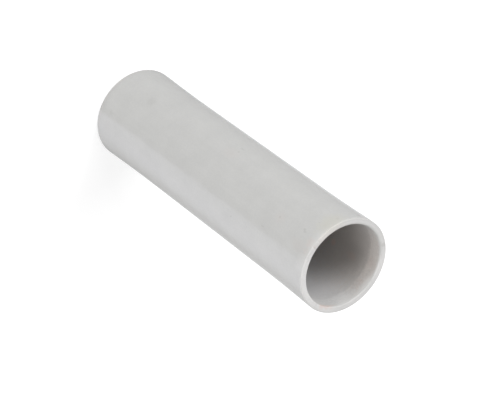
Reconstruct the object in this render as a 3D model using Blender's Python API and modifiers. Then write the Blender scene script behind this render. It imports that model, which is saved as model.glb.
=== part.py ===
"""A straight slip coupling for rigid electrical conduit, moulded in one piece and standing on one of its ends.

Both ends are open sockets. A low ring halfway along the bore stops the conduits, both edges of each
rim are rounded, and the outer wall bells out a little towards both rims. The origin is the centre
of the lower rim and +Z runs along the bore. All sizes are in metres.
"""

import math

import bpy

PART_NAME = "conduit_coupling"
SLEEVE_NAME = "coupling_sleeve"

# Sockets
CONDUIT_DIAMETER = 0.0200
CONDUIT_CLEARANCE = 0.00002
SOCKET_DEPTH = 0.0413
SOCKET_TAPER = 0.00005

# Centre stop
STOP_WIDTH = 0.0024
STOP_HEIGHT = 0.0009
STOP_ROUNDING = 0.00025
STOP_ROOT_FILLET = 0.00020

# Outer wall and rims
WALL = 0.00128
BELL_LENGTH = 0.0180
BELL_RISE = 0.00030
RIM_OUTER_ROUNDING = 0.00026
RIM_INNER_ROUNDING = 0.00040

# Colour and surface of the plastic
PLASTIC_COLOUR = (0.600, 0.600, 0.585, 1.0)
PLASTIC_ROUGHNESS = 0.25
PLASTIC_METALLIC = 0.0

# Smoothness of the turned surfaces
TURN_STEPS = 72
BELL_STEPS = 6
ROUNDING_STEPS = 4

half_length = SOCKET_DEPTH + STOP_WIDTH / 2
stop_face = STOP_WIDTH / 2
socket_radius = CONDUIT_DIAMETER / 2 + CONDUIT_CLEARANCE
rim_inner_radius = socket_radius + SOCKET_TAPER
stop_radius = socket_radius - STOP_HEIGHT
body_radius = socket_radius + WALL
rim_outer_radius = body_radius + BELL_RISE


def clear_scene():
    for existing in list(bpy.data.objects):
        bpy.data.objects.remove(existing, do_unlink=True)


def arc(centre, radius, start_degrees, end_degrees):
    """Points of a round edge in the section, as (radius from the axis, height), both ends included."""
    points = []
    for step in range(ROUNDING_STEPS + 1):
        angle = math.radians(start_degrees + (end_degrees - start_degrees) * step / ROUNDING_STEPS)
        points.append((centre[0] + radius * math.cos(angle), centre[1] + radius * math.sin(angle)))
    return points


def bell():
    """The outer wall from the straight body up to the rim's rounding, opening like a quarter of a cosine."""
    points = []
    low = half_length - BELL_LENGTH
    high = half_length - RIM_OUTER_ROUNDING
    for step in range(BELL_STEPS):
        share = step / BELL_STEPS
        rise = BELL_RISE * (1 - math.cos(math.pi / 2 * share))
        points.append((body_radius + rise, low + (high - low) * share))
    return points


def rim():
    """The end face with its two rounded edges, from the outer wall to the bore."""
    outer_centre = (rim_outer_radius - RIM_OUTER_ROUNDING, half_length - RIM_OUTER_ROUNDING)
    inner_centre = (rim_inner_radius + RIM_INNER_ROUNDING, half_length - RIM_INNER_ROUNDING)
    return arc(outer_centre, RIM_OUTER_ROUNDING, 0, 90) + arc(inner_centre, RIM_INNER_ROUNDING, 90, 180)


def socket():
    """The foot of the bore at the flat shoulder that a conduit butts on, and the stop's crest."""
    root_centre = (socket_radius - STOP_ROOT_FILLET, stop_face + STOP_ROOT_FILLET)
    crest_centre = (stop_radius + STOP_ROUNDING, stop_face - STOP_ROUNDING)
    return arc(root_centre, STOP_ROOT_FILLET, 0, -90) + arc(crest_centre, STOP_ROUNDING, 90, 180)


def section():
    """The whole section at +X as a closed loop: down the outer wall, round the lower rim and up the bore."""
    upper = bell() + rim() + socket()
    lower = [(radius, -height) for radius, height in reversed(upper)]
    loop = lower + upper
    return [(radius, height + half_length) for radius, height in reversed(loop)]


def plastic():
    material = bpy.data.materials.new("grey_plastic")
    material.use_nodes = True
    surface = material.node_tree.nodes["Principled BSDF"]
    surface.inputs["Base Color"].default_value = PLASTIC_COLOUR
    surface.inputs["Roughness"].default_value = PLASTIC_ROUGHNESS
    surface.inputs["Metallic"].default_value = PLASTIC_METALLIC
    material.diffuse_color = PLASTIC_COLOUR
    return material


def turned(name, outline, collection, material):
    """Turns a closed outline that lies at +X once round the Z axis."""
    mesh = bpy.data.meshes.new(name)
    count = len(outline)
    edges = [(index, (index + 1) % count) for index in range(count)]
    mesh.from_pydata([(radius, 0.0, height) for radius, height in outline], edges, [])
    mesh.materials.append(material)
    body = bpy.data.objects.new(name, mesh)
    collection.objects.link(body)
    screw = body.modifiers.new("turn", "SCREW")
    screw.axis = "Z"
    screw.angle = math.tau
    screw.steps = TURN_STEPS
    screw.render_steps = TURN_STEPS
    screw.use_smooth_shade = True
    screw.use_merge_vertices = True
    screw.merge_threshold = 1e-6
    shading = body.modifiers.new("even_shading", "WEIGHTED_NORMAL")
    shading.weight = 100
    return body


def build():
    clear_scene()
    collection = bpy.data.collections.new(PART_NAME)
    bpy.context.scene.collection.children.link(collection)
    turned(SLEEVE_NAME, section(), collection, plastic())


build()
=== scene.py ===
"""A plastic slip coupling for rigid conduit, standing on one end and seen from above its open mouth."""

import math

import bmesh
import bpy
from mathutils import Matrix, Vector, noise


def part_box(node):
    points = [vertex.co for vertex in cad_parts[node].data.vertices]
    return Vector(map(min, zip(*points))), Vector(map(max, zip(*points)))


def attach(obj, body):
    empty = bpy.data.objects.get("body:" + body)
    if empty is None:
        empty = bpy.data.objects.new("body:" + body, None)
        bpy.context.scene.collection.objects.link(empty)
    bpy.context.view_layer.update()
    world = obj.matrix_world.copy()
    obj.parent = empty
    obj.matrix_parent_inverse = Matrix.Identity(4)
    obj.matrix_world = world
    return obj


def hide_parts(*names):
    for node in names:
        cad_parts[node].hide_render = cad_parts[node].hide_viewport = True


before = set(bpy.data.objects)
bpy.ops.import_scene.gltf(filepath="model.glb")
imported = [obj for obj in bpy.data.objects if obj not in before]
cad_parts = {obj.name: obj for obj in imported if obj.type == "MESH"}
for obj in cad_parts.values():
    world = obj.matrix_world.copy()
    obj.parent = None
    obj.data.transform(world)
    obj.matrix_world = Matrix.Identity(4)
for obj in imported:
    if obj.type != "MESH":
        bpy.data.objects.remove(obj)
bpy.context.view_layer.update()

MM = 0.001

# The sleeve's own sizes. Its length and its outer radius at the rims come from the frame
SOCKET_RADIUS = 10.02 * MM
SOCKET_TAPER = 0.05 * MM
STOP_WIDTH = 2.4 * MM
STOP_HEIGHT = 0.9 * MM
WALL = 1.28 * MM
BELL_LENGTH = 18.0 * MM
RIM_OUTER_ROUNDING = 0.26 * MM
RIM_INNER_ROUNDING = 0.40 * MM
STOP_ROUNDING = 0.25 * MM
STOP_ROOT_FILLET = 0.20 * MM

# How uneven the rims' outer edges are: a worn stretch and a nick in the upper one, and a slow waver in both.
# Middles and spreads are in degrees round the sleeve
WORN_EDGE_MIDDLE, WORN_EDGE_SPREAD, WORN_EDGE_DEPTH = -4, 15, 0.20 * MM
NICK_MIDDLE, NICK_SPREAD, NICK_DEPTH = 3, 2.6, 0.13 * MM
WAVER_DEPTH, WAVERS_PER_METRE = 0.022 * MM, 260

# How far from the sharp edge the unevenness reaches, how steeply it fades out there, and how much
# the edge sinks for each step that it goes inwards
EDGE_REACH = 0.60 * MM
EDGE_FADE = 1.6
EDGE_SINK = 0.6

# Smoothness of the turned surfaces
TURN_STEPS = 288
BELL_STEPS = 12
ROUNDING_STEPS = 6

# How near a circle a vertex counts as on it, and how near each other two vertices become one
ON_CIRCLE = 0.01 * MM
SAME_PLACE = 0.001 * MM

low_corner, high_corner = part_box("coupling_sleeve")
length = high_corner[2] - low_corner[2]
half_length = length / 2
middle = (high_corner[2] + low_corner[2]) / 2
rim_radius = (high_corner[0] - low_corner[0]) / 2
body_radius = SOCKET_RADIUS + WALL
rim_inner_radius = SOCKET_RADIUS + SOCKET_TAPER
stop_radius = SOCKET_RADIUS - STOP_HEIGHT
stop_face = STOP_WIDTH / 2


def bell_radius(height):
    """The outer wall's radius at a height above the middle of the sleeve."""
    share = (height - (half_length - BELL_LENGTH)) / BELL_LENGTH
    if share <= 0:
        return body_radius
    return body_radius + (rim_radius - body_radius) * (1 - math.cos(math.pi / 2 * share))


def upper_section():
    """The upper half's section at +X, with sharp corners, from the outer wall over the rim to the stop."""
    points = [(body_radius, 0.0)]
    for step in range(BELL_STEPS + 1):
        height = half_length - BELL_LENGTH * (1 - step / BELL_STEPS)
        points.append((bell_radius(height), height))
    points.append((rim_inner_radius, half_length))
    points.append((SOCKET_RADIUS, stop_face))
    points.append((stop_radius, stop_face))
    points.append((stop_radius, 0.0))
    return points


def edges_on_circle(bm, radius, height):
    """The edges of the circles at this radius and at this height above and below the middle."""

    def on_circle(vertex):
        off_axis = math.hypot(vertex.co.x, vertex.co.y)
        off_middle = abs(vertex.co.z - middle)
        return abs(off_axis - radius) < ON_CIRCLE and abs(off_middle - height) < ON_CIRCLE

    return [edge for edge in bm.edges if all(on_circle(vertex) for vertex in edge.verts)]


def round_circle(bm, radius, height, rounding):
    bmesh.ops.bevel(
        bm,
        geom=edges_on_circle(bm, radius, height),
        offset=rounding,
        offset_type="OFFSET",
        segments=ROUNDING_STEPS,
        profile=0.5,
        affect="EDGES",
        material=-1,
        clamp_overlap=False,
    )


def uneven_edge(bm):
    """Draws both rims' outer edges inwards by a slow waver, and the upper one's also by its wear and nick."""
    for vertex in bm.verts:
        off_axis = math.hypot(vertex.co.x, vertex.co.y)
        from_end = half_length - abs(vertex.co.z - middle)
        closeness = 1 - math.hypot(off_axis - rim_radius, from_end) / EDGE_REACH
        if closeness <= 0:
            continue
        turn = math.degrees(math.atan2(vertex.co.y, vertex.co.x))
        depth = WAVER_DEPTH * (1 + noise.noise(vertex.co * WAVERS_PER_METRE))
        side = 1 if vertex.co.z > middle else -1
        if side == 1:
            depth += WORN_EDGE_DEPTH * math.exp(-(((turn - WORN_EDGE_MIDDLE) / WORN_EDGE_SPREAD) ** 2))
            depth += NICK_DEPTH * math.exp(-(((turn - NICK_MIDDLE) / NICK_SPREAD) ** 2))
        depth *= min(1.0, closeness * EDGE_FADE)
        inwards = Vector((-vertex.co.x / off_axis, -vertex.co.y / off_axis, -EDGE_SINK * side))
        vertex.co += inwards * depth


def finished_object(bm, name, *materials):
    mesh = bpy.data.meshes.new(name)
    bm.to_mesh(mesh)
    bm.free()
    for material in materials:
        mesh.materials.append(material)
    mesh.shade_smooth()
    piece = bpy.data.objects.new(name, mesh)
    bpy.context.scene.collection.objects.link(piece)
    return piece


# The three finishes of the one moulded piece, in the order of its material slots
OUTER, RIM, BORE = range(3)


def finish_of(face):
    """Which of the three finishes a face of the sleeve has."""
    centre = face.calc_center_median()
    from_end = half_length - abs(centre.z - middle)
    faces_axis = face.normal.x * centre.x + face.normal.y * centre.y < 0
    if from_end < (RIM_INNER_ROUNDING if faces_axis else RIM_OUTER_ROUNDING):
        return RIM
    return BORE if faces_axis or math.hypot(centre.x, centre.y) < SOCKET_RADIUS else OUTER


def make_sleeve(materials):
    """Turns the section, mirrors it about the middle, rounds its edges and wears them."""
    bm = bmesh.new()
    corners = [bm.verts.new((radius, 0.0, middle + height)) for radius, height in upper_section()]
    lines = [bm.edges.new(pair) for pair in zip(corners, corners[1:])]
    bmesh.ops.spin(
        bm,
        geom=corners + lines,
        cent=(0.0, 0.0, 0.0),
        axis=(0.0, 0.0, 1.0),
        angle=math.tau,
        steps=TURN_STEPS,
        use_merge=True,
    )
    bmesh.ops.mirror(
        bm,
        geom=bm.verts[:] + bm.edges[:] + bm.faces[:],
        matrix=Matrix.Translation((0.0, 0.0, -middle)),
        merge_dist=SAME_PLACE,
        axis="Z",
    )
    bmesh.ops.remove_doubles(bm, verts=bm.verts[:], dist=SAME_PLACE)
    bmesh.ops.recalc_face_normals(bm, faces=bm.faces[:])
    round_circle(bm, rim_radius, half_length, RIM_OUTER_ROUNDING)
    round_circle(bm, rim_inner_radius, half_length, RIM_INNER_ROUNDING)
    round_circle(bm, stop_radius, stop_face, STOP_ROUNDING)
    round_circle(bm, SOCKET_RADIUS, stop_face, STOP_ROOT_FILLET)
    bm.normal_update()
    for face in bm.faces:
        face.material_index = finish_of(face)
    uneven_edge(bm)
    return finished_object(bm, "moulded_sleeve", *materials)


# Colours of the plastic, of what has marked it, and of painted shade in the bore
PLASTIC_COLOUR = (0.604, 0.602, 0.587, 1.0)
CUT_COLOUR = (0.673, 0.663, 0.651, 1.0)
RUBBED_COLOUR = (0.608, 0.602, 0.584, 1.0)
PALE_COLOUR = (0.765, 0.754, 0.740, 1.0)
# Painted shade: the bore's colour deep inside, darker than the plastic, which the inner wall darkens to away
# from the mouth
BORE_SHADED_COLOUR = (0.520, 0.515, 0.515, 1.0)
# A warm brown stain that is also painted shade, for the dark far side deep in the bore
AGED_STAIN_AND_SHADE_COLOUR = (0.550, 0.506, 0.470, 1.0)
DIRT_COLOUR = (0.330, 0.325, 0.300, 1.0)
RUST_COLOUR = (0.660, 0.470, 0.400, 1.0)
YELLOWED_COLOUR = (0.625, 0.610, 0.530, 1.0)
YELLOWED_CUT_COLOUR = (0.720, 0.700, 0.622, 1.0)
WHITE = (1.0, 1.0, 1.0, 1.0)

# Roughness of each finish: about its middle, and what it is before the patterns add to it
OUTER_ROUGHNESS, OUTER_BARE = 0.18, 0.16
CUT_ROUGHNESS, CUT_BARE = 0.62, 0.57
BORE_ROUGHNESS, BORE_BARE = 0.34, 0.31

# What the patterns add to it: haze and rim wear and drawn lines outside, saw marks on the cut, lines inside
HAZE_ROUGHNESS, WORN_ROUGHNESS, DRAWN_ROUGHNESS = 0.10, 0.12, 0.04
SAWN_ROUGHNESS = 0.16
BORE_LINE_ROUGHNESS = 0.06

# Depth of each finish's relief, and the shares of waviness and grain in the outer one's
OUTER_RELIEF = 0.022 * MM
CUT_RELIEF = 0.03 * MM
BORE_RELIEF = 0.006 * MM
WAVINESS_SHARE, GRAIN_SHARE = 0.66, 0.19

# Tones that the outer skin's grain and the bore's lines give: where they start, and how far they swing
SKIN_TONE, SKIN_SWING = 0.94, 0.08
STREAK_TONE, STREAK_SWING = 0.985, 0.03

# How much of the colour the wear at the rims' edges and the specks cover
OUTER_WEAR_COVER, BORE_WEAR_COVER = 0.30, 0.60
OUTER_SPECK_COVER, CUT_SPECK_COVER, BORE_SPECK_COVER = 0.45, 0.35, 0.30

# How deep the paler zone in each mouth is, and how much paler: the paler tone is painted light falling in
# through the mouth, and the scuffs in it are rubbing from conduit. Its edge, and where its scuffs fade to
# their share deep in the bore, are in shares of twice its depth
MOUTH_ZONE = 3.7 * MM
MOUTH_PAINTED_LIGHT = 1.105
MOUTH_EDGE = (0.47, 0.53)
SCUFFS_FADE = (0.44, 0.9)
SCUFFS_DEEP = 0.3

# The colour sockets of a Mix node
MIX_FIRST, MIX_SECOND, MIX_RESULT = 6, 7, 2


class Wiring:
    """Adds nodes to a tree and links them, so that a chain of nodes reads as a line of sums."""

    def __init__(self, tree):
        self.tree = tree

    def node(self, kind, settings=None, **inputs):
        made = self.tree.nodes.new(kind)
        for name, value in (settings or {}).items():
            setattr(made, name, value)
        for name, value in inputs.items():
            self.feed(made.inputs[name.replace("_", " ")], value)
        return made

    def feed(self, socket, value):
        if isinstance(value, bpy.types.NodeSocket):
            self.tree.links.new(value, socket)
        else:
            socket.default_value = value

    def sum(self, operation, *values, clamp=False):
        made = self.node("ShaderNodeMath", {"operation": operation, "use_clamp": clamp})
        for socket, value in zip(made.inputs, values):
            self.feed(socket, value)
        return made.outputs[0]

    def line(self, start, value, slope):
        """A straight line: the start, and the value times the slope added to it."""
        return self.sum("ADD", start, self.sum("MULTIPLY", value, slope))

    def shares(self, first, first_share, second, second_share):
        """Two values, each times its share, added up."""
        return self.line(self.sum("MULTIPLY", first, first_share), second, second_share)

    def vector(self, operation, *values):
        made = self.node("ShaderNodeVectorMath", {"operation": operation})
        for socket, value in zip(made.inputs, values):
            self.feed(socket, value)
        return made.outputs["Value" if operation == "LENGTH" else "Vector"]

    def ramp(self, value, low, high, out_low=0.0, out_high=1.0):
        """A soft step: out_low below low and out_high above high."""
        made = self.node("ShaderNodeMapRange", {"interpolation_type": "SMOOTHSTEP"})
        for socket, number in zip(made.inputs, (value, low, high, out_low, out_high)):
            self.feed(socket, number)
        return made.outputs["Result"]

    def per(self, size):
        """How many of this size fit in a metre, which is the scale of a noise."""
        return self.sum("DIVIDE", 1.0, size)

    def noise(self, place, scale, detail=2.0, roughness=0.5):
        made = self.node("ShaderNodeTexNoise", Vector=place, Scale=scale, Detail=detail, Roughness=roughness)
        return made.outputs["Fac"]

    def mix(self, share, colour, other, blend="MIX"):
        made = self.node("ShaderNodeMix", {"data_type": "RGBA", "blend_type": blend}, Factor=share)
        self.feed(made.inputs[MIX_FIRST], colour)
        self.feed(made.inputs[MIX_SECOND], other)
        return made.outputs[MIX_RESULT]

    def group(self, tree, **inputs):
        return self.node("ShaderNodeGroup", {"node_tree": tree}, **inputs).outputs


def new_group(name, inputs, outputs):
    """An empty shader group with these inputs as (name, kind, value) and these outputs as names."""
    tree = bpy.data.node_groups.new(name, "ShaderNodeTree")
    for label, kind, value in inputs:
        socket = tree.interface.new_socket(label, in_out="INPUT", socket_type=kind)
        if value is not None:
            socket.default_value = value
    for label in outputs:
        tree.interface.new_socket(label, in_out="OUTPUT", socket_type="NodeSocketFloat")
    wiring = Wiring(tree)
    return wiring, wiring.node("NodeGroupInput").outputs, wiring.node("NodeGroupOutput").inputs


def distance_from_end(w, place):
    """How far a place lies from the nearer end of the sleeve, along the bore."""
    height = w.node("ShaderNodeSeparateXYZ", Vector=place).outputs["Z"]
    return w.sum("SUBTRACT", half_length, w.sum("ABSOLUTE", w.sum("SUBTRACT", height, middle)))


NUMBER, PLACE = "NodeSocketFloat", "NodeSocketVector"

# Noise swings by about a quarter each way, and this brings the swing to about one
FULL_SWING = 4.0


def mottling_group():
    """Uneven tone of moulded plastic: broad clouds, finer blotches, and a height for its faint waviness."""
    w, given, result = new_group(
        "plastic_mottling",
        (
            ("Place", PLACE, None),
            ("Cloud Size", NUMBER, 5 * MM),
            ("Blotch Size", NUMBER, 1.1 * MM),
            ("Contrast", NUMBER, 0.02),
        ),
        ("Tone", "Waviness"),
    )
    cloud_share, blotch_share = 0.55, 0.45
    clouds = w.noise(given["Place"], w.per(given["Cloud Size"]), detail=1.0)
    blotches = w.noise(given["Place"], w.per(given["Blotch Size"]), detail=3.0, roughness=0.6)
    both = w.shares(clouds, cloud_share, blotches, blotch_share)
    swing = w.sum("MULTIPLY", w.sum("SUBTRACT", both, 0.5), given["Contrast"])
    w.feed(result["Tone"], w.line(1.0, swing, FULL_SWING))
    w.feed(result["Waviness"], clouds)
    return w.tree


def grain_group():
    """The fine skin of the plastic, and faint lines drawn along the sleeve as it was formed."""
    w, given, result = new_group(
        "plastic_grain",
        (
            ("Place", PLACE, None),
            ("Grain Size", NUMBER, 0.35 * MM),
            ("Line Spacing", NUMBER, 0.8 * MM),
            ("Line Share", NUMBER, 0.4),
        ),
        ("Height", "Lines"),
    )
    drawn_out = (1.0, 1.0, 0.03)
    grain = w.noise(given["Place"], w.per(given["Grain Size"]), roughness=0.55)
    drawn = w.vector("MULTIPLY", given["Place"], drawn_out)
    lines = w.noise(drawn, w.per(given["Line Spacing"]), roughness=0.6)
    w.feed(result["Height"], w.line(grain, lines, given["Line Share"]))
    w.feed(result["Lines"], lines)
    return w.tree


def specks_group():
    """Sparse specks of dirt with wobbling outlines, each in its own cell."""
    w, given, result = new_group(
        "dirt_specks",
        (
            ("Place", PLACE, None),
            ("Spacing", NUMBER, 3 * MM),
            ("Size", NUMBER, 0.3 * MM),
            ("Share", NUMBER, 0.3),
        ),
        ("Mask",),
    )
    wobbles_per_metre, wobble_reach = 2500.0, 0.25 * MM
    solid_core = 0.35
    faintest, stronger_by = 0.45, 0.55
    wobble = w.node("ShaderNodeTexNoise", Vector=given["Place"], Scale=wobbles_per_metre, Detail=1.0)
    shift = w.vector("SCALE", w.vector("SUBTRACT", wobble.outputs["Color"], (0.5, 0.5, 0.5)))
    shift.node.inputs["Scale"].default_value = wobble_reach
    place = w.vector("ADD", given["Place"], shift)
    cells = w.node("ShaderNodeTexVoronoi", {"feature": "F1"}, Vector=place, Scale=w.per(given["Spacing"]))
    apart = w.sum("MULTIPLY", cells.outputs["Distance"], given["Spacing"])
    dot = w.sum("SUBTRACT", 1.0, w.ramp(w.sum("DIVIDE", apart, given["Size"]), solid_core, 1.0))
    chance = w.node("ShaderNodeSeparateColor", Color=cells.outputs["Color"]).outputs
    chosen = w.sum("LESS_THAN", chance[0], given["Share"])
    strength = w.line(faintest, chance[1], stronger_by)
    w.feed(result["Mask"], w.sum("MULTIPLY", w.sum("MULTIPLY", dot, chosen), strength))
    return w.tree


def mark_group():
    """One mark with an uneven edge. A stretch below 1 draws it out along that axis."""
    w, given, result = new_group(
        "handling_mark",
        (
            ("Place", PLACE, None),
            ("Centre", PLACE, None),
            ("Size", NUMBER, 1 * MM),
            ("Stretch", PLACE, (1.0, 1.0, 1.0)),
            ("Strength", NUMBER, 0.3),
        ),
        ("Mask",),
    )
    lobes_per_metre, unevenness, solid_core = 1600.0, 0.9, 0.25
    offset = w.vector("MULTIPLY", w.vector("SUBTRACT", given["Place"], given["Centre"]), given["Stretch"])
    apart = w.sum("DIVIDE", w.vector("LENGTH", offset), given["Size"])
    lobes = w.sum("SUBTRACT", w.noise(given["Place"], lobes_per_metre), 0.5)
    mask = w.sum("SUBTRACT", 1.0, w.ramp(w.line(apart, lobes, unevenness), solid_core, 1.0))
    w.feed(result["Mask"], w.sum("MULTIPLY", mask, given["Strength"]))
    return w.tree


def rim_wear_group():
    """Patchy wear along a circle of this radius at each end: strongest on it, and gone at the reach."""
    w, given, result = new_group(
        "rim_wear",
        (
            ("Place", PLACE, None),
            ("Radius", NUMBER, rim_radius),
            ("Reach", NUMBER, 0.5 * MM),
        ),
        ("Mask",),
    )
    patches_per_metre, patch_edge, least_worn = 900.0, (0.35, 0.65), 0.45
    fully_worn = 0.2
    off_axis = w.vector("LENGTH", w.vector("MULTIPLY", given["Place"], (1.0, 1.0, 0.0)))
    across = w.sum("SUBTRACT", off_axis, given["Radius"])
    from_end = distance_from_end(w, given["Place"])
    apart = w.sum("SQRT", w.sum("ADD", w.sum("POWER", across, 2.0), w.sum("POWER", from_end, 2.0)))
    patches = w.ramp(w.noise(given["Place"], patches_per_metre, detail=3.0), *patch_edge, least_worn, 1.0)
    near = w.sum("SUBTRACT", 1.0, w.ramp(w.sum("DIVIDE", apart, given["Reach"]), fully_worn, 1.0))
    w.feed(result["Mask"], w.sum("MULTIPLY", near, patches))
    return w.tree


def depth_group():
    """How far a place in the bore lies from the nearer mouth, from 0 at the rim to 1 at the depth."""
    w, given, result = new_group(
        "bore_depth",
        (("Place", PLACE, None), ("Depth", NUMBER, 20 * MM)),
        ("Share",),
    )
    from_end = distance_from_end(w, given["Place"])
    w.feed(result["Share"], w.sum("DIVIDE", from_end, given["Depth"], clamp=True))
    return w.tree


def scuffs_group():
    """Where conduit has been pushed in: dappled rubbing and fine rings round the bore, as a tone round 1."""
    w, given, result = new_group(
        "mouth_scuffs",
        (
            ("Place", PLACE, None),
            ("Size", NUMBER, 0.5 * MM),
            ("Ring Spacing", NUMBER, 0.4 * MM),
        ),
        ("Tone",),
    )
    darkest, dapple_share, ring_share = 0.72, 0.36, 0.20
    drawn_round = (0.12, 0.12, 1.0)
    dapple = w.noise(given["Place"], w.per(given["Size"]), detail=3.0, roughness=0.65)
    drawn = w.vector("MULTIPLY", given["Place"], drawn_round)
    rings = w.noise(drawn, w.per(given["Ring Spacing"]), roughness=0.6)
    w.feed(result["Tone"], w.sum("ADD", darkest, w.shares(dapple, dapple_share, rings, ring_share)))
    return w.tree


def saw_marks_group():
    """Fine parallel lines that the saw left across the cut face, some long and some broken."""
    w, given, result = new_group(
        "saw_marks",
        (("Place", PLACE, None), ("Spacing", NUMBER, 0.25 * MM)),
        ("Height",),
    )
    drawn_far, drawn_short = (0.04, 1.0, 0.0), (0.35, 1.0, 0.0)
    long_share, broken_share = 0.7, 0.3
    along = w.vector("MULTIPLY", given["Place"], drawn_far)
    partway = w.vector("MULTIPLY", given["Place"], drawn_short)
    long_lines = w.noise(along, w.per(given["Spacing"]))
    broken_lines = w.noise(partway, w.sum("DIVIDE", 2.0, given["Spacing"]))
    w.feed(result["Height"], w.shares(long_lines, long_share, broken_lines, broken_share))
    return w.tree


groups = {
    "mottling": mottling_group(),
    "grain": grain_group(),
    "specks": specks_group(),
    "mark": mark_group(),
    "wear": rim_wear_group(),
    "depth": depth_group(),
    "scuffs": scuffs_group(),
    "saw": saw_marks_group(),
}


def start_material(name, roughness):
    """A material with its shader and the place on the sleeve that its patterns read."""
    material = bpy.data.materials.new(name)
    material.use_nodes = True
    surface = material.node_tree.nodes["Principled BSDF"]
    surface.inputs["Roughness"].default_value = roughness
    w = Wiring(material.node_tree)
    place = w.node("ShaderNodeTexCoord").outputs["Object"]
    return material, surface, w, place


def toned(w, colour, tone):
    """The colour made lighter or darker by a tone round 1."""
    grey = w.node("ShaderNodeCombineColor")
    for socket in grey.inputs:
        w.feed(socket, tone)
    return w.mix(1.0, colour, grey.outputs[0], blend="MULTIPLY")


def bumped(w, surface, height, depth):
    """Feeds a height between 0 and 1 to the shader as relief of this depth in metres."""
    relief = w.node("ShaderNodeBump", Strength=1.0, Distance=depth, Height=height)
    w.feed(surface.inputs["Normal"], relief.outputs["Normal"])


# Marks that the sleeve carries, and patches of painted light and shade: place and size in millimetres,
# stretch along each axis, and strength
OUTER_MARKS = (
    ((10.5, -4.2, 13.5), 1.7, (1.0, 1.0, 0.9), 0.13),
    ((10.7, 3.6, 4.6), 0.8, (1.0, 1.0, 0.7), 0.10),
    ((10.7, 3.6, 68.1), 0.45, (1.0, 1.6, 0.5), 0.16),
    ((8.3, -7.7, 46.0), 0.5, (1.0, 1.0, 0.7), 0.16),
    ((11.3, -0.3, 71.4), 0.4, (1.0, 1.0, 1.0), 0.22),
    ((11.4, -1.25, 79.8), 0.42, (1.0, 1.2, 0.7), 0.20),
    ((11.4, -0.95, 80.2), 0.42, (1.0, 1.2, 0.7), 0.20),
    ((8.8, -7.4, 83.2), 0.6, (1.0, 1.0, 1.0), 0.22),
    ((10.5, -4.4, 81.3), 0.35, (1.0, 1.0, 1.0), 0.18),
)
RUST_ON_WALL = (
    ((9.9, -5.5, 45.6), 2.0, (1.0, 1.0, 0.6), 0.05),
    ((11.3, -0.3, 71.6), 1.8, (1.0, 1.0, 0.8), 0.05),
    ((11.2, 2.2, 81.0), 2.4, (1.0, 1.2, 0.6), 0.05),
    ((11.4, 0.35, 83.5), 1.4, (1.0, 0.9, 0.8), 0.14),
    ((11.2, 2.4, 83.8), 1.0, (1.0, 0.7, 1.0), 0.08),
)
PALE_ON_WALL = (((10.5, 5.0, 84.2), 3.4, (1.0, 1.0, 1.3), 0.26),)
YELLOWED_ON_WALL = (((9.8, -6.0, 83.4), 4.2, (1.0, 0.8, 1.1), 0.45),)
YELLOWED_ON_RIM = (((10.0, -4.4, 85.0), 6.0, (1.0, 1.0, 1.0), 0.32),)
RUST_ON_RIM = (
    ((-2.1, 9.85, 84.75), 1.0, (0.8, 1.0, 1.0), 0.34),
    ((-3.4, 9.45, 84.75), 1.0, (0.8, 1.0, 1.0), 0.32),
    ((-4.6, 8.95, 84.75), 0.9, (0.8, 1.0, 1.0), 0.22),
    ((-2.0, 10.45, 85.0), 0.8, (1.0, 1.0, 1.0), 0.16),
    ((11.2, 0.6, 85.0), 0.9, (1.0, 1.0, 1.0), 0.10),
    ((10.2, -3.8, 85.0), 5.5, (1.0, 1.0, 1.0), 0.05),
)
# Pale patches on the cut ends, partly pale wear and partly painted highlight on the ring
PALE_WEAR_AND_LIGHT_ON_RIM = (
    ((5.6, 9.7, 84.9), 8.5, (1.0, 1.0, 1.0), 0.75),
    ((-3.4, 10.4, 84.9), 4.2, (1.0, 1.0, 1.0), 0.45),
    ((-9.8, -5.0, 84.9), 4.5, (1.0, 1.0, 1.0), 0.45),
    ((10.2, 5.2, 84.9), 3.6, (1.0, 1.0, 1.0), 0.50),
)
DIRT_ON_RIM = (
    ((-6.3, -9.0, 85.0), 0.9, (1.0, 1.0, 1.0), 0.24),
    ((11.0, 0.6, 85.0), 0.55, (0.6, 2.0, 1.0), 0.30),
    ((11.3, 0.0, 84.95), 1.6, (1.0, 0.8, 1.0), 0.16),
)
# Pale patches just inside the mouth, partly rubbing and partly painted light near the mouth
PALE_WEAR_AND_LIGHT_IN_BORE = (
    ((-10.0, 0.6, 84.4), 3.4, (1.0, 1.0, 2.6), 0.60),
    ((-8.1, 5.7, 83.0), 3.6, (1.0, 1.0, 1.3), 0.32),
)
# A broad warm stain deep in the bore's far side, partly a real stain and partly painted shade
AGED_STAIN_AND_SHADE_IN_BORE = (((-8.7, -5.0, 77.0), 14.0, (1.0, 1.0, 0.6), 0.80),)
RUST_IN_BORE = (
    ((-3.0, 9.6, 84.6), 2.0, (0.8, 0.8, 2.2), 0.42),
    ((-5.0, 8.7, 84.4), 1.3, (0.7, 0.7, 2.0), 0.22),
    ((-9.8, 1.0, 82.4), 1.7, (1.0, 0.7, 1.2), 0.08),
    ((-9.2, -4.0, 82.4), 1.8, (1.0, 0.7, 1.3), 0.10),
    ((-1.0, -10.0, 84.2), 1.6, (0.8, 0.8, 1.5), 0.12),
    ((-9.6, -2.9, 76.2), 1.2, (1.0, 1.0, 0.5), 0.16),
    ((-9.7, -2.9, 69.3), 1.1, (1.0, 1.0, 1.0), 0.35),
)


def with_marks(w, place, colour, marks, stain):
    """The colour with each of the marks stained into it."""
    for centre, size, stretch, strength in marks:
        mask = w.group(
            groups["mark"],
            Place=place,
            Centre=tuple(part * MM for part in centre),
            Size=size * MM,
            Stretch=stretch,
            Strength=strength,
        )["Mask"]
        colour = w.mix(mask, colour, stain)
    return colour


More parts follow.
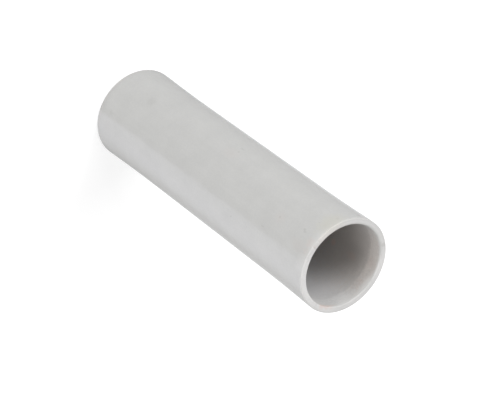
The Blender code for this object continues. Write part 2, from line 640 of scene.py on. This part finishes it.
def outer_plastic():
    """The formed outer wall: light grey, half gloss, faintly clouded, with a few specks and finger marks."""
    material, surface, w, place = start_material("outer_plastic", OUTER_ROUGHNESS)
    mottling = w.group(
        groups["mottling"], Place=place, Cloud_Size=5 * MM, Blotch_Size=0.6 * MM, Contrast=0.040
    )
    grain = w.group(
        groups["grain"], Place=place, Grain_Size=0.4 * MM, Line_Spacing=0.9 * MM, Line_Share=0.5
    )
    specks = w.group(groups["specks"], Place=place, Spacing=4.2 * MM, Size=0.30 * MM, Share=0.35)["Mask"]
    wear = w.group(groups["wear"], Place=place, Radius=rim_radius, Reach=1.3 * MM)["Mask"]
    skin = w.line(SKIN_TONE, grain["Height"], SKIN_SWING)
    colour = toned(w, PLASTIC_COLOUR, w.sum("MULTIPLY", mottling["Tone"], skin))
    colour = w.mix(w.sum("MULTIPLY", wear, OUTER_WEAR_COVER), colour, CUT_COLOUR)
    colour = w.mix(w.sum("MULTIPLY", specks, OUTER_SPECK_COVER), colour, DIRT_COLOUR)
    colour = with_marks(w, place, colour, OUTER_MARKS, DIRT_COLOUR)
    colour = with_marks(w, place, colour, PALE_ON_WALL, PALE_COLOUR)
    colour = with_marks(w, place, colour, YELLOWED_ON_WALL, YELLOWED_COLOUR)
    colour = with_marks(w, place, colour, RUST_ON_WALL, RUST_COLOUR)
    w.feed(surface.inputs["Base Color"], colour)
    haze = w.sum("SUBTRACT", mottling["Waviness"], 0.5)
    rubbed = w.shares(wear, WORN_ROUGHNESS, grain["Lines"], DRAWN_ROUGHNESS)
    hazy = w.line(OUTER_BARE, haze, HAZE_ROUGHNESS)
    w.feed(surface.inputs["Roughness"], w.sum("ADD", hazy, rubbed))
    relief = w.shares(mottling["Waviness"], WAVINESS_SHARE, grain["Height"], GRAIN_SHARE)
    bumped(w, surface, relief, OUTER_RELIEF)
    return material


def cut_plastic():
    """The sawn ends: paler and duller, with saw marks across them, rubbed edges, and pale patches that are
    partly painted light.
    """
    material, surface, w, place = start_material("cut_plastic", CUT_ROUGHNESS)
    mottling = w.group(
        groups["mottling"], Place=place, Cloud_Size=3 * MM, Blotch_Size=0.7 * MM, Contrast=0.035
    )
    specks = w.group(groups["specks"], Place=place, Spacing=2.6 * MM, Size=0.25 * MM, Share=0.25)["Mask"]
    outer_edge, inner_edge = rim_radius - 0.1 * MM, rim_inner_radius + 0.1 * MM
    outer_wear = w.group(groups["wear"], Place=place, Radius=outer_edge, Reach=0.65 * MM)["Mask"]
    inner_wear = w.group(groups["wear"], Place=place, Radius=inner_edge, Reach=0.65 * MM)["Mask"]
    saw = w.group(groups["saw"], Place=place, Spacing=0.3 * MM)["Height"]
    colour = toned(w, CUT_COLOUR, mottling["Tone"])
    colour = w.mix(w.sum("MAXIMUM", outer_wear, inner_wear), colour, RUBBED_COLOUR)
    colour = w.mix(w.sum("MULTIPLY", specks, CUT_SPECK_COVER), colour, DIRT_COLOUR)
    # Pale patches, partly wear and partly painted highlight on the ring
    colour = with_marks(w, place, colour, PALE_WEAR_AND_LIGHT_ON_RIM, PALE_COLOUR)
    colour = with_marks(w, place, colour, YELLOWED_ON_RIM, YELLOWED_CUT_COLOUR)
    colour = with_marks(w, place, colour, DIRT_ON_RIM, DIRT_COLOUR)
    colour = with_marks(w, place, colour, RUST_ON_RIM, RUST_COLOUR)
    w.feed(surface.inputs["Base Color"], colour)
    w.feed(surface.inputs["Roughness"], w.line(CUT_BARE, saw, SAWN_ROUGHNESS))
    bumped(w, surface, saw, CUT_RELIEF)
    return material


def bore_plastic():
    """The inner wall: duller than the outer one, darkened deeper in by painted shade, with a warm stain that
    carries painted shade too, and paler at each mouth where conduit has rubbed it and where painted light
    falls in.
    """
    material, surface, w, place = start_material("bore_plastic", BORE_ROUGHNESS)
    mottling = w.group(
        groups["mottling"], Place=place, Cloud_Size=6 * MM, Blotch_Size=1.4 * MM, Contrast=0.03
    )
    grain = w.group(
        groups["grain"], Place=place, Grain_Size=0.5 * MM, Line_Spacing=1.2 * MM, Line_Share=0.6
    )
    specks = w.group(groups["specks"], Place=place, Spacing=4.0 * MM, Size=0.35 * MM, Share=0.30)["Mask"]
    depth = w.group(groups["depth"], Place=place, Depth=MOUTH_ZONE * 2)["Share"]
    scuffs = w.group(groups["scuffs"], Place=place, Size=0.55 * MM, Ring_Spacing=0.5 * MM)["Tone"]
    scuffed = w.sum("POWER", scuffs, w.ramp(depth, *SCUFFS_FADE, 1.0, SCUFFS_DEEP))
    # The mouth's paler zone is painted light falling in through the mouth, times the rubbed scuffs
    mouth = w.sum("MULTIPLY", w.ramp(depth, *MOUTH_EDGE, MOUTH_PAINTED_LIGHT, 1.0), scuffed)
    streaks = w.line(STREAK_TONE, grain["Lines"], STREAK_SWING)
    wear = w.group(groups["wear"], Place=place, Radius=rim_inner_radius, Reach=1.15 * MM)["Mask"]
    # Painted shade: the inner wall darkens from the plastic's colour at the mouth to the shaded colour deeper
    # in
    colour = w.mix(depth, PLASTIC_COLOUR, BORE_SHADED_COLOUR)
    # A warm stain that also paints shade on the far side deep in the bore
    colour = with_marks(w, place, colour, AGED_STAIN_AND_SHADE_IN_BORE, AGED_STAIN_AND_SHADE_COLOUR)
    colour = toned(w, colour, w.sum("MULTIPLY", mottling["Tone"], w.sum("MULTIPLY", mouth, streaks)))
    colour = w.mix(w.sum("MULTIPLY", specks, BORE_SPECK_COVER), colour, DIRT_COLOUR)
    colour = w.mix(w.sum("MULTIPLY", wear, BORE_WEAR_COVER), colour, PALE_COLOUR)
    # Pale patches by the mouth: partly rubbing, partly painted light
    colour = with_marks(w, place, colour, PALE_WEAR_AND_LIGHT_IN_BORE, PALE_COLOUR)
    colour = with_marks(w, place, colour, RUST_IN_BORE, RUST_COLOUR)
    w.feed(surface.inputs["Base Color"], colour)
    w.feed(surface.inputs["Roughness"], w.line(BORE_BARE, grain["Lines"], BORE_LINE_ROUGHNESS))
    bumped(w, surface, grain["Height"], BORE_RELIEF)
    return material


# Camera. Its place is in units of the body's radius, its sensor in millimetres
PHOTO_WIDTH = 500
FOCAL_PIXELS = 2273
SENSOR_WIDTH = 36.0
CLIP_NEAR, CLIP_FAR = 0.01, 50.0
CAMERA_PLACE = Vector((32.606, 0.0, 37.134)) * body_radius
CAMERA_LOOK = Vector((-0.70538, 0.00124, -0.70882))
CAMERA_ROLL = math.radians(126.575)


def make_camera():
    lens = bpy.data.cameras.new("camera")
    lens.sensor_width = SENSOR_WIDTH
    lens.lens = lens.sensor_width * FOCAL_PIXELS / PHOTO_WIDTH
    lens.clip_start = CLIP_NEAR
    lens.clip_end = CLIP_FAR
    camera = bpy.data.objects.new("camera", lens)
    bpy.context.scene.collection.objects.link(camera)
    aim = CAMERA_LOOK.to_track_quat("-Z", "Y").to_matrix().to_4x4()
    camera.matrix_world = Matrix.Translation(CAMERA_PLACE) @ aim @ Matrix.Rotation(CAMERA_ROLL, 4, "Z")
    bpy.context.scene.camera = camera


# Light that comes from all round
WORLD_STRENGTH = 0.361

# Lamps: azimuth and elevation in degrees, distance, width and height in metres, watts and tint
WHITE_LIGHT = (1.0, 1.0, 1.0)
COOL_LIGHT = (0.993, 0.996, 1.010)
LAMPS = (
    ("left_high_softbox", -85, 55, 2.4, 1.40, 0.80, 21.8, COOL_LIGHT),
    ("left_softbox", -54, 30, 2.4, 1.80, 0.80, 22.0, COOL_LIGHT),
    ("front_low_softbox", 21, 8, 1.2, 0.60, 0.40, 3.8, WHITE_LIGHT),
    ("right_softbox", 70, 24, 2.4, 1.20, 1.00, 13.2, COOL_LIGHT),
    ("right_low_softbox", 90, 8, 1.2, 0.60, 0.40, 1.0, COOL_LIGHT),
    ("back_low_softbox", 180, 6, 1.2, 0.40, 0.30, 3.5, WHITE_LIGHT),
)

# The floor: how far it reaches each way, its grey, how bright the camera sees it near the sleeve, and
# the distances from the sleeve between which it turns white
FLOOR_REACH = 3.0
FLOOR_GREY = 0.50
FLOOR_GLOW = 0.65
FLOOR_EDGE_NEAR, FLOOR_EDGE_FAR = 0.3, 1.0

# What reflections see of it: dark ground in front and a pale backdrop behind. The backdrop's soft edge
# starts and ends at two angles round the card's corner, in radians, each near the sleeve and far from it
FLOOR_MIRRORED, BACKDROP_MIRRORED = 0.04, 0.20
BACKDROP_NEAR, BACKDROP_FAR = 18 * MM, 50 * MM
BACKDROP_START = (2.0, 2.38)
BACKDROP_END = (2.7, 2.55)

# The white card beside the sleeve: its brightness, the corner that its two edges run from, their
# directions, how soft each edge is in radians, and its tint
CARD_GLOW = 0.80
CARD_CORNER = Vector((8.87, 3.06, 0.0)) * MM
CARD_FROM, CARD_TO = math.radians(49), math.radians(116)
CARD_FROM_SOFTNESS, CARD_TO_SOFTNESS = 0.03, 0.5
CARD_TINT = (0.96, 0.96, 1.12, 1.0)


def make_lamp(name, azimuth, elevation, distance, width, height, watts, tint):
    """A soft rectangular lamp that faces the middle of the sleeve. Azimuth 0 is the camera's side."""
    light = bpy.data.lights.new(name, "AREA")
    light.shape = "RECTANGLE"
    light.size = width
    light.size_y = height
    light.energy = watts
    light.color = tint
    lamp = bpy.data.objects.new(name, light)
    bpy.context.scene.collection.objects.link(lamp)
    turn, rise = math.radians(azimuth), math.radians(elevation)
    direction = Vector((math.cos(turn) * math.cos(rise), math.sin(turn) * math.cos(rise), math.sin(rise)))
    target = Vector((0.0, 0.0, middle))
    facing = direction.to_track_quat("Z", "Y").to_matrix().to_4x4()
    lamp.matrix_world = Matrix.Translation(target + direction * distance) @ facing
    lamp.visible_camera = False


def make_floor():
    """A pale floor with a soft shadow. Reflections see it dark, with a white card and a backdrop on it."""
    bm = bmesh.new()
    bmesh.ops.create_grid(bm, x_segments=1, y_segments=1, size=FLOOR_REACH)
    bmesh.ops.translate(bm, verts=bm.verts[:], vec=(0.0, 0.0, low_corner[2]))
    material = bpy.data.materials.new("pale_floor")
    material.use_nodes = True
    surface = material.node_tree.nodes["Principled BSDF"]
    surface.inputs["Base Color"].default_value = (FLOOR_GREY, FLOOR_GREY, FLOOR_GREY, 1.0)
    surface.inputs["Roughness"].default_value = 1.0
    surface.inputs["Specular IOR Level"].default_value = 0.0
    w = Wiring(material.node_tree)
    place = w.node("ShaderNodeTexCoord").outputs["Object"]
    path = w.node("ShaderNodeLightPath").outputs
    parts = w.node("ShaderNodeSeparateXYZ", Vector=w.vector("SUBTRACT", place, CARD_CORNER)).outputs
    turn = w.sum("ARCTAN2", parts["Y"], parts["X"])
    card = w.sum(
        "MULTIPLY",
        w.ramp(turn, CARD_FROM - CARD_FROM_SOFTNESS, CARD_FROM + CARD_FROM_SOFTNESS),
        w.ramp(turn, CARD_TO - CARD_TO_SOFTNESS, CARD_TO + CARD_TO_SOFTNESS, 1.0, 0.0),
    )
    apart = w.vector("LENGTH", place)
    away = w.ramp(apart, FLOOR_EDGE_NEAR, FLOOR_EDGE_FAR, FLOOR_GLOW, 1.0)
    seen = w.sum("MULTIPLY", path["Is Camera Ray"], away)
    start = w.ramp(apart, BACKDROP_NEAR, BACKDROP_FAR, *BACKDROP_START)
    end = w.ramp(apart, BACKDROP_NEAR, BACKDROP_FAR, *BACKDROP_END)
    ground = w.ramp(w.sum("ABSOLUTE", turn), start, end, FLOOR_MIRRORED, BACKDROP_MIRRORED)
    glow = w.line(ground, card, CARD_GLOW)
    mirrored = w.sum("MULTIPLY", path["Is Glossy Ray"], glow)
    w.feed(surface.inputs["Emission Strength"], w.sum("ADD", seen, mirrored))
    tinted = w.sum("MULTIPLY", path["Is Glossy Ray"], card)
    w.feed(surface.inputs["Emission Color"], w.mix(tinted, WHITE, CARD_TINT))
    floor = finished_object(bm, "floor", material)


def make_world():
    """An even light from all round, which the camera sees as a white backdrop."""
    world = bpy.data.worlds.new("studio")
    bpy.context.scene.world = world
    world.use_nodes = True
    background = world.node_tree.nodes["Background"]
    background.inputs["Color"].default_value = WHITE
    w = Wiring(world.node_tree)
    seen = w.node("ShaderNodeLightPath").outputs["Is Camera Ray"]
    w.feed(background.inputs["Strength"], w.ramp(seen, 0.0, 1.0, WORLD_STRENGTH, 1.0))


bpy.context.scene.view_settings.view_transform = "Standard"
sleeve = make_sleeve((outer_plastic(), cut_plastic(), bore_plastic()))
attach(sleeve, "root")
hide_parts("coupling_sleeve")
make_camera()
make_floor()
make_world()
for lamp in LAMPS:
    make_lamp(*lamp)
